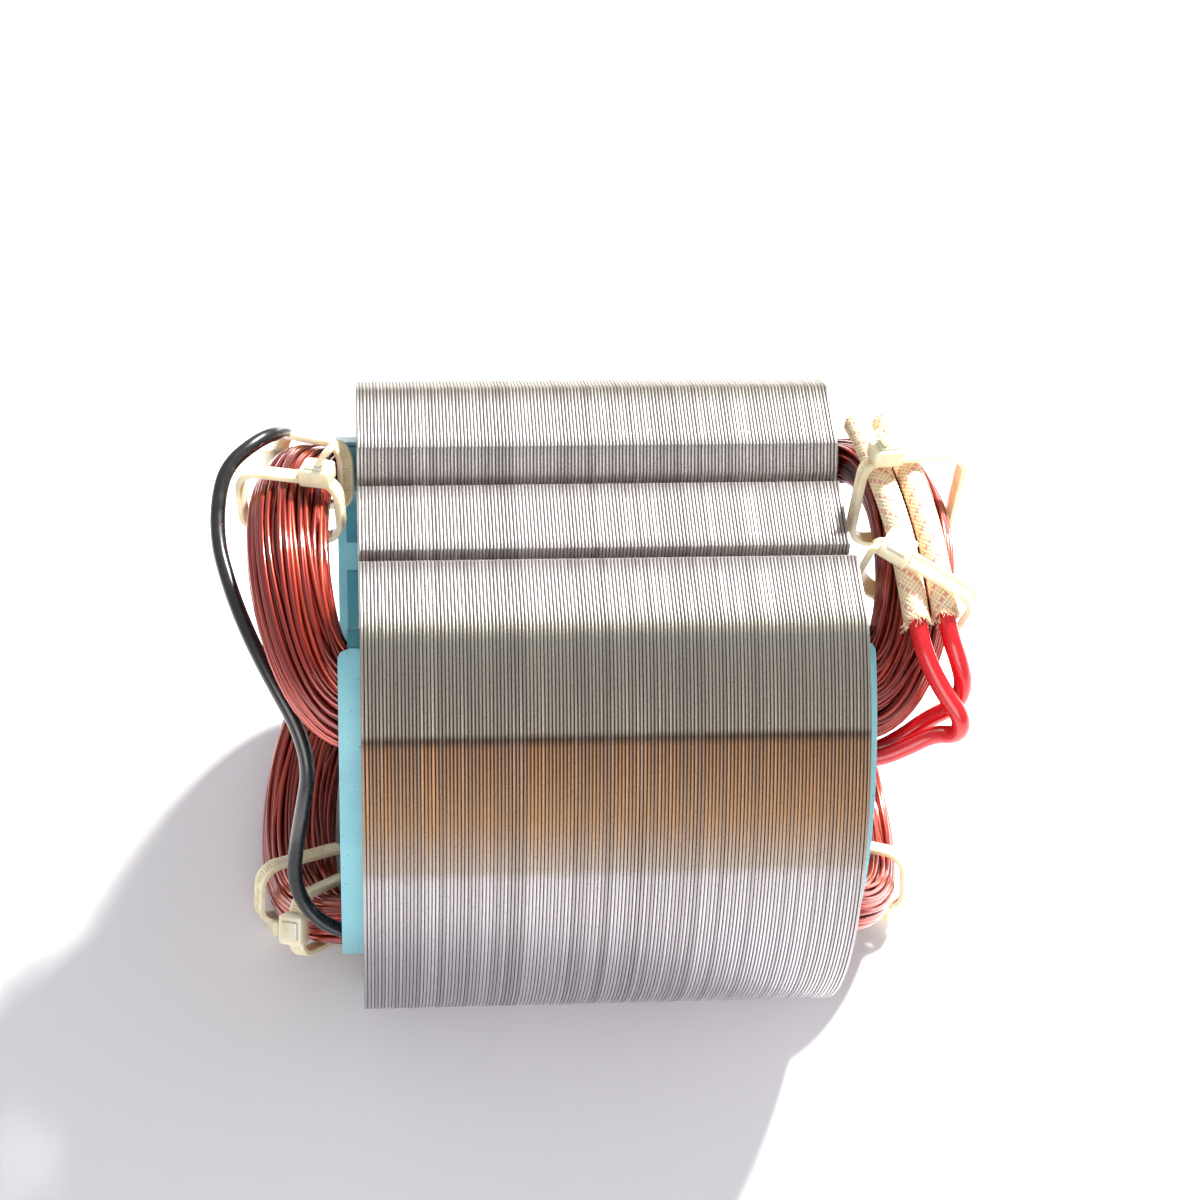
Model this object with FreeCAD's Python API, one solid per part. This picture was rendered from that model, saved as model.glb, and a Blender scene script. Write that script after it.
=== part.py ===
import FreeCAD, Part
import math
import os

# A wound two-pole stator of a universal motor. +X runs along the stack, +Z up through the two poles.
# The origin is on the bore's axis at the middle of the stack. Sizes are in millimetres, angles in degrees.
# "Near" is the -Y side and "far" the +Y side; "left" is the -X end and "right" the +X end.

Vector = FreeCAD.Vector

# Punched sheet
sheet_thickness = 0.5
sheet_count = 140
sheets_per_packet = 14
joint_depth = 0.25
joint_half_width = 0.2
yoke_radius = 47.4
flat_height = 41.15
channel_half_width = 11.2
channel_depth = 2.9
channel_floor_half_width = 8.5
groove_width = 2.05
groove_depth = 2.6
bore_radius = 27.75
slot_radius = 39.2
slot_corner_angle = 60.0
pole_half_width = 16.0
pole_corner_radius = 1.2
shoe_root_height = 27.5
shoe_tip_angle = 26.0
shoe_tip_thickness = 2.4
shoe_back_rise = 0.55

# Slot insulation
sheet_gap = 0.1
liner_thickness = 0.5
liner_edge_angle = 58.4
liner_left_overhang = 3.1
liner_right_overhang = 2.3
liner_corner_radius = 1.6
cell_thickness = 0.35
cell_overhang = 1.7
cell_start_angle = 38.0
cell_tail_angle = 6.5
cell_corner = 1.2

# Field coils: wound round each pole, with end-turns that arch over the bore's ends
coil_gap = 0.15
leg_first_angle = 30.0
leg_last_angle = 54.0
leg_squareness = 3.4
turn_squareness = 2.5
turn_start_gap = 1.0
turn_inner_reach = 4.0
turn_outer_reach = 16.0
turn_inner_radius = 31.0
turn_outer_radius = 39.3
turn_droop = 1.6
strand_count = 16
strand_groove = 0.5
turn_steps = 5

# Cable ties
tie_gap = 0.35
strap_width = 2.4
strap_thickness = 1.0
strap_corner_radius = 2.6
head_length = 4.6
head_width = 4.0
head_height = 2.8
head_chamfer = 0.5
tail_width = 2.1
tail_tilt = 35.0
head_seat_inset = 0.2
hidden_head_inset = 1.2
sleeves_over_coil = 5.1
sleeves_inside_coil = 1.0

# Braided sleeves, leads and coil ends
sleeve_diameter = 3.8
sleeve_bore = 2.9
lead_in_sleeve = 5.0
lead_past_sleeve = 2.4
red_lead_diameter = 2.6
black_lead_diameter = 2.2
coil_end_diameter = 1.3
bend_share = 0.45

stack_length = sheet_count * sheet_thickness
stack_end = stack_length / 2
packet_length = sheets_per_packet * sheet_thickness
centre_land_height = flat_height - channel_depth
liner_outer_radius = slot_radius - sheet_gap
liner_inner_radius = liner_outer_radius - liner_thickness
cell_outer_radius = liner_inner_radius - sheet_gap
cell_inner_radius = cell_outer_radius - cell_thickness
leg_outer_radius = cell_inner_radius - coil_gap
shoe_tip_radius = bore_radius + shoe_tip_thickness
turn_start = stack_end + turn_start_gap


def polar(radius, angle):
    """A point of the YZ section at an angle above the far horizontal, as (y, z)."""
    a = math.radians(angle)
    return radius * math.cos(a), radius * math.sin(a)


def in_section(y, z, x=0.0):
    return Vector(x, y, z)


def line(a, b):
    return Part.makeLine(a, b)


def arc(a, b, c):
    return Part.Arc(a, b, c).toShape()


def closed_wire(edges):
    return Part.Wire(Part.sortEdges(edges)[0])


def solid_of(faces):
    """The solid inside a closed set of faces."""
    shell = Part.makeShell(faces)
    shell.sewShape()
    solid = Part.makeSolid(shell)
    if solid.Volume < 0:
        solid.reverse()
    return solid


def prism(wire, x_low, x_high):
    """A solid along X between two stations, from a closed wire drawn at x = 0."""
    face = Part.Face(wire)
    face.translate(Vector(x_low, 0, 0))
    return face.extrude(Vector(x_high - x_low, 0, 0))


# ---------- lamination stack

def outer_outline(x, inset):
    """The sheet's outer edge: two round sides, two flats, each with a channel that holds two narrow grooves."""
    radius = yoke_radius - inset
    flat = flat_height - inset
    land = centre_land_height - inset
    corner = math.sqrt(radius ** 2 - flat ** 2)
    slope = (channel_half_width - channel_floor_half_width) / channel_depth
    groove_bottom = centre_land_height - groove_depth
    centre_half_width = channel_floor_half_width - groove_width
    half = [
        (corner, flat),
        (channel_half_width - slope * inset, flat),
        (channel_floor_half_width, centre_land_height),
        (channel_floor_half_width, groove_bottom),
        (centre_half_width, groove_bottom),
        (centre_half_width, land),
    ]
    top = half + [(-y, z) for y, z in reversed(half)]
    bottom = [(-y, -z) for y, z in top]
    edges = []
    for run in (top, bottom):
        points = [in_section(y, z, x) for y, z in run]
        edges += [line(a, b) for a, b in zip(points, points[1:])]
        side = -radius if run is top else radius
        turned = in_section(-run[0][0], run[0][1], x)
        edges.append(arc(turned, in_section(side, 0, x), in_section(turned.y, -turned.z, x)))
    return Part.Wire(edges)


def shoe_back(angle):
    """Radius of the pole shoe's back, from its tip to its root beside the pole."""
    root_radius = math.hypot(pole_half_width, shoe_root_height)
    root_angle = math.degrees(math.atan2(shoe_root_height, pole_half_width))
    share = (angle - shoe_tip_angle) / (root_angle - shoe_tip_angle)
    straight = shoe_tip_radius + (root_radius - shoe_tip_radius) * share
    return straight - shoe_back_rise * math.sin(math.pi * share)


def window_quarter(sy, sz):
    """A quarter of the punched window: half the bore's arc, the shoe, the pole's flank and the slot's wall."""
    def at(y, z):
        return in_section(sy * y, sz * z)

    r = pole_corner_radius
    bend = r * (1 - math.sqrt(0.5))
    ceiling = polar(slot_radius, slot_corner_angle)[1]
    middle_angle = (shoe_tip_angle + slot_corner_angle) / 2
    nose_angle = shoe_tip_angle - math.degrees(0.4 * shoe_tip_thickness / bore_radius)
    nose_radius = bore_radius + shoe_tip_thickness / 2
    bore_tip = at(*polar(bore_radius, shoe_tip_angle))
    back_tip = at(*polar(shoe_tip_radius, shoe_tip_angle))
    root = at(pole_half_width, shoe_root_height)
    return [
        arc(at(0, bore_radius), at(*polar(bore_radius, (90 + shoe_tip_angle) / 2)), bore_tip),
        arc(bore_tip, at(*polar(nose_radius, nose_angle)), back_tip),
        arc(back_tip, at(*polar(shoe_back(middle_angle), middle_angle)), root),
        line(root, at(pole_half_width, ceiling - r)),
        arc(at(pole_half_width, ceiling - r), at(pole_half_width + bend, ceiling - bend),
            at(pole_half_width + r, ceiling)),
        line(at(pole_half_width + r, ceiling), at(*polar(slot_radius, slot_corner_angle))),
        arc(at(*polar(slot_radius, slot_corner_angle)), at(*polar(slot_radius, slot_corner_angle / 2)),
            at(slot_radius, 0)),
    ]


def lamination_stack():
    """The bonded sheets as one block, with a shallow joint between packets of sheets."""
    outlines = [outer_outline(-stack_end, 0)]
    for k in range(1, sheet_count // sheets_per_packet):
        x = -stack_end + k * packet_length
        outlines += [
            outer_outline(x - joint_half_width, 0),
            outer_outline(x, joint_depth),
            outer_outline(x + joint_half_width, 0),
        ]
    outlines.append(outer_outline(stack_end, 0))
    block = Part.makeLoft(outlines, True, True)
    edges = []
    for sy in (1, -1):
        for sz in (1, -1):
            edges += window_quarter(sy, sz)
    window = prism(closed_wire(edges), -stack_end - 1, stack_end + 1)
    return block.cut(window)


# ---------- slot insulation

def slot_liner(side):
    """A curved sheet on the yoke's inner wall, from one pole to the other, proud of both ends."""
    def at(radius, angle):
        y, z = polar(radius, angle)
        return in_section(side * y, z)

    e = liner_edge_angle
    wire = closed_wire([
        arc(at(liner_outer_radius, -e), at(liner_outer_radius, 0), at(liner_outer_radius, e)),
        line(at(liner_outer_radius, e), at(liner_inner_radius, e)),
        arc(at(liner_inner_radius, e), at(liner_inner_radius, 0), at(liner_inner_radius, -e)),
        line(at(liner_inner_radius, -e), at(liner_outer_radius, -e)),
    ])
    sheet = prism(wire, -stack_end - liner_left_overhang, stack_end + liner_right_overhang)
    corners = [k for k in sheet.Edges if abs(k.Length - liner_thickness) < 0.01]
    return sheet.makeFillet(liner_corner_radius, corners)


def cell_wall(offset):
    """The slot cell's line at a distance from the slot's wall, as section points from yoke to tail."""
    flank = pole_half_width + offset
    ceiling = polar(slot_radius, slot_corner_angle)[1] - offset
    outer = cell_outer_radius - (offset - sheet_gap)
    turn_angle = math.degrees(math.asin(ceiling / outer))
    tail_radius = shoe_tip_radius + offset
    points = [polar(outer, cell_start_angle + k * (turn_angle - cell_start_angle) / 4) for k in range(5)]
    points += [(flank + cell_corner, ceiling), (flank, ceiling - cell_corner)]
    points.append((flank, shoe_root_height + offset * 0.7))
    for angle in (54.0, 47.0, 40.0, 33.0, shoe_tip_angle):
        points.append(polar(shoe_back(angle) + offset, angle))
    points.append(polar(tail_radius - 0.5, (shoe_tip_angle + cell_tail_angle) / 2))
    points.append(polar(tail_radius - 1.3, cell_tail_angle))
    return points


def slot_cell(sy, sz):
    """A thin sheet folded round one coil leg: yoke side, slot ceiling, pole flank, shoe back and a loose tail."""
    outer = cell_wall(sheet_gap)
    inner = cell_wall(sheet_gap + cell_thickness)
    ring = outer + inner[::-1]
    points = [in_section(sy * y, sz * z) for y, z in ring]
    wire = Part.makePolygon(points + points[:1])
    return prism(wire, -stack_end - cell_overhang, stack_end + cell_overhang)


# ---------- field coils

def ring_shape(k, squareness):
    """Place of point k round the bundle's section, each of p and q from -1 to 1: a rounded box with grooves."""
    points_per_strand = 3
    a = 2 * math.pi * (k + 0.5) / (strand_count * points_per_strand)
    c, s = math.cos(a), math.sin(a)
    size = (abs(c) ** squareness + abs(s) ** squareness) ** (-1 / squareness)
    groove = strand_groove / (turn_outer_radius - turn_inner_radius) * 2
    depth = 1 - groove if k % points_per_strand == 0 else 1
    return size * c * depth, size * s * depth


def bundle_point(p, q, turn):
    """A wire's place in the upper near left quarter as (distance from the middle, angle from the crown, radius).

    p runs from the pole to the slot's open side and q from the bore to the yoke. turn goes from 0, where the
    wire leaves the slot along X, to 90 at the crown, where it runs square to X: a quarter of an ellipse.
    """
    t = math.radians(turn)
    leg_angle = (leg_first_angle + leg_last_angle) / 2 + (leg_last_angle - leg_first_angle) / 2 * p
    reach = (turn_inner_reach + turn_outer_reach) / 2 + (turn_outer_reach - turn_inner_reach) / 2 * p
    section_angle = 90 - leg_angle
    leg_inner = shoe_back(section_angle) + sheet_gap * 2 + cell_thickness + coil_gap
    leg_radius = (leg_outer_radius + leg_inner) / 2 + (leg_outer_radius - leg_inner) / 2 * q
    crown_radius = (turn_outer_radius + turn_inner_radius) / 2 + (turn_outer_radius - turn_inner_radius) / 2 * q
    crown_radius -= turn_droop * max(p, 0) ** 2 * (1 + q) / 2
    share = math.sin(t) ** 2
    x = turn_start + (stack_end + reach - turn_start) * math.sin(t)
    return x, leg_angle * math.cos(t), leg_radius + (crown_radius - leg_radius) * share


def place(x, angle, radius, end, side, pole):
    """A point from its distance along X, its angle from the crown and its radius, in one of the eight corners."""
    a = math.radians(angle)
    return Vector(end * x, side * radius * math.sin(a), pole * radius * math.cos(a))


def ring_at(turn, end, side, pole):
    """The bundle's section where the wires have turned by an angle."""
    squareness = leg_squareness + (turn_squareness - leg_squareness) * math.sin(math.radians(turn)) ** 2
    points = []
    for k in range(strand_count * 3):
        p, q = ring_shape(k, squareness)
        points.append(place(*bundle_point(p, q, turn), end, side, pole))
    return points


def field_coil(pole):
    """One coil as a closed ring of flat facets: two legs in the slots and two arched end-turns."""
    rings = []
    steps = [90 * k / turn_steps for k in range(turn_steps + 1)]
    for end, side, turns in ((1, -1, steps), (1, 1, steps[-2::-1]), (-1, 1, steps), (-1, -1, steps[-2::-1])):
        rings += [ring_at(turn, end, side, pole) for turn in turns]
    facets = []
    for ring, following in zip(rings, rings[1:] + rings[:1]):
        for a, b, c, d in zip(ring, ring[1:] + ring[:1], following[1:] + following[:1], following):
            for corners in ((a, b, c), (a, c, d)):
                facets.append(Part.Face(Part.makePolygon([*corners, corners[0]])))
    return solid_of(facets)


# ---------- cable ties

def bundle_frame(turn, end, side, pole):
    """Centre and axes of a tie's plane: along the bundle's width, outward, and along the wires."""
    inner = place(*bundle_point(-1, 0, turn), end, side, pole)
    outer = place(*bundle_point(1, 0, turn), end, side, pole)
    low = place(*bundle_point(0, -1, turn), end, side, pole)
    high = place(*bundle_point(0, 1, turn), end, side, pole)
    centre = (inner + outer + low + high) * 0.25
    across = (outer - inner).normalize()
    out = high - low
    out = (out - across * out.dot(across)).normalize()
    return centre, across, out, across.cross(out)


def bundle_extent(turn, end, side, pole):
    """How far the bundle reaches from the tie's centre: across low, across high, out low, out high."""
    centre, across, out, along = bundle_frame(turn, end, side, pole)
    spans = [[], []]
    for nearby in range(turn - 8, min(turn + 9, 91), 2):
        for point in ring_at(nearby, end, side, pole):
            offset = point - centre
            if abs(offset.dot(along)) < strap_width:
                spans[0].append(offset.dot(across))
                spans[1].append(offset.dot(out))
    return min(spans[0]), max(spans[0]), min(spans[1]), max(spans[1])


def rounded_box(low_a, high_a, low_b, high_b, radius):
    """A rounded rectangle in the XY plane."""
    c = radius * (1 - math.sqrt(0.5))
    a0, a1, b0, b1 = low_a, high_a, low_b, high_b
    v = [Vector(x, y, 0) for x, y in (
        (a0 + radius, b0), (a1 - radius, b0), (a1 - c, b0 + c), (a1, b0 + radius), (a1, b1 - radius),
        (a1 - c, b1 - c), (a1 - radius, b1), (a0 + radius, b1), (a0 + c, b1 - c), (a0, b1 - radius),
        (a0, b0 + radius), (a0 + c, b0 + c))]
    return Part.Wire([
        line(v[0], v[1]), arc(v[1], v[2], v[3]), line(v[3], v[4]), arc(v[4], v[5], v[6]),
        line(v[6], v[7]), arc(v[7], v[8], v[9]), line(v[9], v[10]), arc(v[10], v[11], v[0])])


def tie_head(at_a, at_b, facing, tail_length):
    """The square head on the strap's outside, with its tail sticking out; facing is the way out, in degrees."""
    head = Part.makeBox(head_length, head_height, head_width,
                        Vector(-head_length / 2, -strap_thickness / 2, -head_width / 2))
    head = head.makeChamfer(head_chamfer, head.Edges)
    if tail_length:
        tail = Part.makeBox(strap_thickness, tail_length, tail_width,
                            Vector(-strap_thickness / 2, 0, -tail_width / 2))
        tail.rotate(Vector(0, 0, 0), Vector(0, 0, 1), tail_tilt)
        tail.translate(Vector(0, head_height - strap_thickness, 0))
        head = head.fuse(tail)
    head.rotate(Vector(0, 0, 0), Vector(0, 0, 1), facing - 90)
    head.translate(Vector(at_a, at_b, 0))
    return head


def cable_tie(turn, end, side, pole, head_place, tail_length=0.0, extra_out=0.0, extra_in=0.0):
    """A strap round the bundle with its head at the top, outer or under seat.

    extra_out and extra_in are room for what the strap takes in besides the bundle.
    """
    low_a, high_a, low_b, high_b = bundle_extent(turn, end, side, pole)
    low_a -= extra_in
    high_b += extra_out
    inside = (low_a - tie_gap, high_a + tie_gap, low_b - tie_gap, high_b + tie_gap)
    t = strap_thickness
    outside = (inside[0] - t, inside[1] + t, inside[2] - t, inside[3] + t)
    band = Part.Face(rounded_box(*outside, strap_corner_radius + t))
    band = band.cut(Part.Face(rounded_box(*inside, strap_corner_radius)))
    band.translate(Vector(0, 0, -strap_width / 2))
    tie = band.extrude(Vector(0, 0, strap_width))
    seats = {
        "top": (inside[0] + head_length / 2 + head_seat_inset, inside[3] + t / 2, 90),
        "outer": (inside[1] + t / 2, (inside[2] + inside[3]) / 2, 0),
        "under": (inside[1] - head_length / 2 - hidden_head_inset, inside[3] + t / 2, 90),
    }
    tie = tie.fuse(tie_head(*seats[head_place], tail_length)).removeSplitter()
    centre, across, out, along = bundle_frame(turn, end, side, pole)
    tie.Placement = FreeCAD.Placement(centre, FreeCAD.Rotation(across, out, along, "XYZ"))
    return tie


# ---------- sleeves, leads and coil ends

def bent_path(name, points):
    """Straight runs joined by tangent arcs; an arc's radius comes from its shorter run.

    Each piece of the path is (start, end, centre), where a straight run has no centre.
    """
    pieces = []
    start = points[0]
    radii = []
    for k in range(1, len(points) - 1):
        before, at, after = points[k - 1], points[k], points[k + 1]
        back = (before - at).normalize()
        on = (after - at).normalize()
        half_turn = (math.pi - back.getAngle(on)) / 2
        shorter = min((at - before).Length, (after - at).Length)
        radius = bend_share * shorter / math.tan(half_turn)
        reach = radius * math.tan(half_turn)
        first = at + back * reach
        last = at + on * reach
        centre = at + (back + on).normalize() * (radius / math.cos(half_turn))
        pieces += [(start, first, None), (first, last, centre)]
        start = last
        radii.append(round(radius, 1))
    pieces.append((start, points[-1], None))
    print(name, "bend radii", radii)
    return pieces


def tube(path, diameter):
    """A round bar along a path: a cylinder on each straight run and a piece of a torus on each bend."""
    radius = diameter / 2
    on = (path[0][1] - path[0][0]).normalize()
    faces = [Part.Face(Part.Wire(Part.makeCircle(radius, path[0][0], on)))]
    length = 0.0
    for start, end, centre in path:
        rim = Part.makeCircle(radius, start, on)
        if centre is None:
            faces.append(rim.extrude(end - start))
            length += (end - start).Length
        else:
            axis = (start - centre).cross(end - centre).normalize()
            turn = (start - centre).getAngle(end - centre)
            faces.append(rim.revolve(centre, axis, math.degrees(turn)))
            on = FreeCAD.Rotation(axis, math.degrees(turn)).multVec(on)
            length += turn * (start - centre).Length
    faces.append(Part.Face(Part.Wire(Part.makeCircle(radius, path[-1][1], on))))
    bar = solid_of(faces)
    expected = math.pi * radius ** 2 * length
    print("  length", round(length, 1), "volume over section times length", round(bar.Volume / expected, 4))
    return bar


def vectors(rows):
    return [Vector(*row) for row in rows]


def through_end(route, at_start, inside, outside):
    """Two points on the line of a sleeve's end, one inside the sleeve and one past its mouth."""
    end, next_in = (route[0], route[1]) if at_start else (route[-1], route[-2])
    out = (end - next_in).normalize()
    return [end - out * inside, end + out * outside]


left_sleeve_route = vectors([
    (39.0, 17.6, 38.7), (39.6, 8.0, 41.9), (41.0, -3.0, 42.2), (42.0, -11.5, 40.7), (42.7, -20.6, 37.1)])
right_sleeve_route = vectors([
    (43.1, 17.2, 39.0), (44.0, 8.0, 41.9), (45.3, -3.0, 42.2), (46.2, -11.5, 40.6), (46.9, -19.8, 37.3)])
red_lead_one_route = through_end(left_sleeve_route, False, lead_in_sleeve, lead_past_sleeve) + vectors([
    (44.3, -25.9, 33.6), (46.3, -28.7, 31.0), (48.8, -31.4, 28.6), (48.6, -31.2, 25.0),
    (45.6, -29.7, 23.6), (42.2, -30.2, 21.6), (38.4, -30.9, 20.0), (33.0, -31.0, 19.6), (26.0, -30.9, 19.7)])
red_lead_two_route = through_end(right_sleeve_route, False, lead_in_sleeve, lead_past_sleeve) + vectors([
    (48.6, -24.9, 33.4), (49.6, -26.3, 29.9), (48.6, -26.9, 26.2), (45.4, -26.2, 22.8),
    (42.0, -27.2, 20.1), (38.2, -28.2, 18.2), (33.0, -28.3, 18.0), (27.0, -28.2, 18.1)])
black_lead_route = vectors([
    (-45.6, 23.9, 32.4), (-46.4, 19.8, 36.3), (-49.6, 15.6, 38.4), (-53.9, 11.4, 37.4), (-55.1, 6.0, 34.9),
    (-54.9, 0.2, 32.9), (-53.6, -5.2, 31.6), (-51.9, -10.2, 29.8), (-49.6, -15.0, 27.2),
    (-46.8, -19.3, 23.8), (-43.8, -23.2, 19.8), (-42.3, -26.8, 15.0), (-43.4, -29.3, 9.0),
    (-44.4, -30.4, 2.4), (-45.0, -30.6, -4.4), (-43.9, -31.3, -10.4), (-40.7, -32.2, -14.6),
    (-36.4, -32.6, -16.6), (-30.4, -32.6, -16.9)])
left_coil_end_route = through_end(left_sleeve_route, True, 4.0, 2.0) + vectors([
    (39.2, 22.9, 35.9), (40.3, 25.1, 32.9), (41.5, 26.0, 29.8)])
right_coil_end_route = through_end(right_sleeve_route, True, 4.0, 2.0) + vectors([
    (43.2, 22.4, 36.3), (43.6, 24.8, 33.2), (44.0, 25.8, 30.0)])


def braided_sleeve(name, route):
    path = bent_path(name, route)
    return tube(path, sleeve_diameter).cut(tube(path, sleeve_bore))


parts = {
    "lamination_stack": lamination_stack(),
    "near_slot_liner": slot_liner(-1),
    "far_slot_liner": slot_liner(1),
    "upper_field_coil": field_coil(1),
    "lower_field_coil": field_coil(-1),
    "left_braided_sleeve": braided_sleeve("left_braided_sleeve", left_sleeve_route),
    "right_braided_sleeve": braided_sleeve("right_braided_sleeve", right_sleeve_route),
    "red_lead_one": tube(bent_path("red_lead_one", red_lead_one_route), red_lead_diameter),
    "red_lead_two": tube(bent_path("red_lead_two", red_lead_two_route), red_lead_diameter),
    "black_lead": tube(bent_path("black_lead", black_lead_route), black_lead_diameter),
    "left_coil_end": tube(bent_path("left_coil_end", left_coil_end_route), coil_end_diameter),
    "right_coil_end": tube(bent_path("right_coil_end", right_coil_end_route), coil_end_diameter),
}

for pole_name, pole in (("upper", 1), ("lower", -1)):
    for side_name, side in (("near", -1), ("far", 1)):
        parts[f"{pole_name}_{side_name}_slot_cell"] = slot_cell(side, pole)

parts["upper_left_crown_tie"] = cable_tie(75, -1, 1, 1, "top", tail_length=5.0)
parts["upper_left_far_tie"] = cable_tie(38, -1, 1, 1, "outer")
parts["lower_left_crown_tie"] = cable_tie(66, -1, -1, -1, "under")
parts["lower_left_near_tie"] = cable_tie(33, -1, -1, -1, "outer")
parts["upper_right_crown_tie"] = cable_tie(
    82, 1, 1, 1, "top", tail_length=4.0, extra_out=sleeves_over_coil, extra_in=sleeves_inside_coil)
parts["upper_right_near_tie"] = cable_tie(62, 1, -1, 1, "top", extra_out=sleeves_over_coil)
parts["lower_right_crown_tie"] = cable_tie(66, 1, -1, -1, "under")
parts["lower_right_far_tie"] = cable_tie(38, 1, 1, -1, "outer")

os.makedirs("parts", exist_ok=True)
for name, shape in parts.items():
    solids = shape.Solids
    print(name, shape.ShapeType, len(solids), "solids, valid", shape.isValid(), "volume", round(shape.Volume, 1))
    solid = solids[0] if len(solids) == 1 else shape
    solid.exportStep(f"parts/{name}.step")
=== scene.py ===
import math

import bpy
import numpy as np
from mathutils import Matrix, Vector
from mathutils.geometry import tessellate_polygon


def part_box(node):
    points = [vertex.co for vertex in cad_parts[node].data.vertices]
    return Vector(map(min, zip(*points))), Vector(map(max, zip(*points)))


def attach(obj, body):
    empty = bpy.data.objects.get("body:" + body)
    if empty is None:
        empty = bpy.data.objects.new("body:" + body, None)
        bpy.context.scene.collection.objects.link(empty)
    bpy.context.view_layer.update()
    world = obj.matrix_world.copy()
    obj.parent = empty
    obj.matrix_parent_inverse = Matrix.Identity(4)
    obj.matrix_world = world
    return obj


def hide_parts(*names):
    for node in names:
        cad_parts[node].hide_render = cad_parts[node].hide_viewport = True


# A wound two-pole stator. Lengths are in millimetres and angles in degrees until a mesh is made.
# +X runs along the stack, +Z up through the poles; near is the -Y side, left the -X end.
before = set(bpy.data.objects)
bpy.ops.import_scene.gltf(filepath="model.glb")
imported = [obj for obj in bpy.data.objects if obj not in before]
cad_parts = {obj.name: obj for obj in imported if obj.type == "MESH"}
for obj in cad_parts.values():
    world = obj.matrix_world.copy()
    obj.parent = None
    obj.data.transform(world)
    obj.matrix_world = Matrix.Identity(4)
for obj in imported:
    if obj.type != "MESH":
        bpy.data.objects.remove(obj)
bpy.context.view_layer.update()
metre = 0.001
rng = np.random.default_rng(7)


def sizeOf(node):
    low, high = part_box(node)
    return np.array(low) / metre, np.array(high) / metre


stackLow, stackHigh = sizeOf("lamination_stack")
stackEnd = stackHigh[0]
flatHeight = stackHigh[2]
floorHeight = stackLow[2]

stack = {
    "sheets": 140, "yokeRadius": 47.4, "channelHalfWidth": 11.2, "channelDepth": 2.9,
    "channelFloorHalfWidth": 8.5, "grooveWidth": 2.05, "grooveDepth": 2.6, "boreRadius": 27.75,
    "slotRadius": 39.2, "slotCorner": 60.0, "poleHalfWidth": 16.0, "poleCorner": 1.2,
    "shoeRootHeight": 27.5, "shoeTip": 26.0, "shoeTipThickness": 2.4, "shoeBackRise": 0.55,
    "noseShare": 0.4, "flatPoints": (19.5, 15.0), "lip": 0.15, "landLip": 0.1, "arcSteps": 41,
    "gapDepth": 0.2, "windowGapDepth": 0.12, "edgeRound": 0.03, "edgeShare": 0.2, "raggedness": 0.02,
    "toneLean": 1.6, "sharpAngle": 50.0,
}
liner = {
    "gap": 0.1, "thickness": 0.5, "edgeAngle": 58.4, "leftOverhang": 3.1, "rightOverhang": 2.3,
    "corner": 1.6, "columns": 61, "rows": 41, "edgeCrowding": 1.3,
}
cell = {
    "thickness": 0.35, "overhang": 1.7, "startAngle": 38.0, "backAngle": 56.0, "tailAngle": 6.5,
    "corner": 1.2, "rootShare": 0.7, "tailSag": (0.3, 0.6, 0.9, 1.3),
}
coil = {
    "gap": 0.15, "firstAngle": 30.0, "lastAngle": 54.0, "legSquareness": 3.4, "turnSquareness": 2.5,
    "startGap": 1.0, "innerReach": 4.0, "outerReach": 16.0, "innerRadius": 31.0, "outerRadius": 39.3,
    "droop": 1.6, "wireDiameter": 0.8, "sides": 7, "stepsPerTurn": 16,
    "layers": ((48, 1.0), (42, 0.82), (24, 0.6)), "unevenness": 0.3, "slide": 0.16,
    "slideWaves": (1, 2, 3, 5), "sink": 0.09, "rise": 0.02, "riseWaves": (3, 5, 8),
    "endTones": (0.5, 0.4),
}
tie = {
    "gap": 0.35, "width": 2.4, "thickness": 1.0, "corner": 2.6, "headLength": 4.6, "headWidth": 4.0,
    "headHeight": 2.8, "tailWidth": 2.1, "tailTilt": 35.0, "ribPitch": 0.45, "ribHeight": 0.1,
    "sleevesOver": 5.1, "sleevesInside": 1.0, "stations": 280, "trackDepth": 0.12, "headRound": 0.55,
    "lidHeight": 0.35, "lidRound": 0.25, "tailStations": 24, "tailSides": 12, "tailRib": 0.08,
}
sleeve = {
    "diameter": 3.8, "bore": 2.9, "carriers": 16, "weaveHeight": 0.13, "pitch": 12.0, "columns": 144,
    "spacing": 0.12, "tracerEvery": 4, "overHeight": 0.38, "strandPower": 0.7, "mouthRows": 8,
    "mouthFlare": 0.05, "raggedRows": 6, "raggedLength": 0.35, "liningRows": 14, "fibres": 70,
    "fibreRadius": 0.045,
}
lead = {
    "red": 2.6, "black": 2.2, "coilEnd": 1.3, "spacing": 0.35, "sides": 20, "endShare": 0.9,
    "inSleeve": 5.0, "pastSleeve": 2.4, "coilEndInSleeve": 4.0, "coilEndPastSleeve": 2.0,
}
ground = {"half": 3.0, "colour": (0.92, 0.90, 0.92, 1.0), "roughness": 0.9, "specular": 0.1}
world = {"seen": (1.0, 1.0, 1.0, 1.0), "lit": (0.95, 0.96, 1.0, 1.0), "litStrength": 0.55}
view = {
    "eye": (-35.946, -289.242, 333.419), "target": (2.872, 18.751, 0.0), "roll": 4.449, "lens": 86.93,
    "sensorWidth": 36.0, "clip": (0.01, 20.0),
}


# Quads of a grid of vertices: each joins (i, j), (i+1, j), (i+1, j+1), (i, j+1).
def gridFaces(rows, columns, closeRows=False, closeColumns=False, start=0):
    i = np.arange(rows if closeRows else rows - 1)
    j = np.arange(columns if closeColumns else columns - 1)
    i, j = np.meshgrid(i, j, indexing="ij")
    nextRow, nextColumn = (i + 1) % rows, (j + 1) % columns
    quads = np.stack([i * columns + j, nextRow * columns + j, nextRow * columns + nextColumn,
                      i * columns + nextColumn], axis=-1)
    return quads.reshape(-1, 4) + start


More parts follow.
